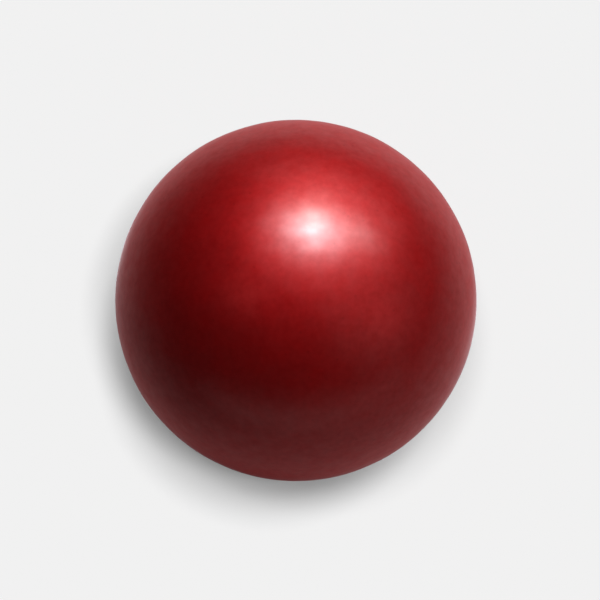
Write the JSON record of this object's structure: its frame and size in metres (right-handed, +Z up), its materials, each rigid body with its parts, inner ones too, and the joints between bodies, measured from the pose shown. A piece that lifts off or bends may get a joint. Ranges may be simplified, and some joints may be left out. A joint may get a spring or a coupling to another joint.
{
  "type": "pilates ball",
  "caption": "Small soft inflatable exercise ball with a smooth pearl-red skin, a flush valve insert and a push-in stopper plug that pulls out.",
  "frame": {"origin": "middle of the small flat that the resting ball's own weight presses on the floor", "axes": "+Z up through the middle of the ball, +Y towards the side with the valve, +X completes a right-handed frame"},
  "size_m": [0.23, 0.23, 0.2282],
  "materials": {
    "skin": "satin",
    "insert": "satin",
    "plug": "satin"
  },
  "bodies": {
    "ball": {"ball_skin": "skin", "valve_insert": "insert"},
    "plug": {"valve_plug": "plug"}
  },
  "joints": [
    {"name": "plug_pull", "type": "slide", "parent": "ball", "child": "plug", "axis": [0, 0.9659, -0.2588], "range_m": [0, 0.026]}
  ]
}
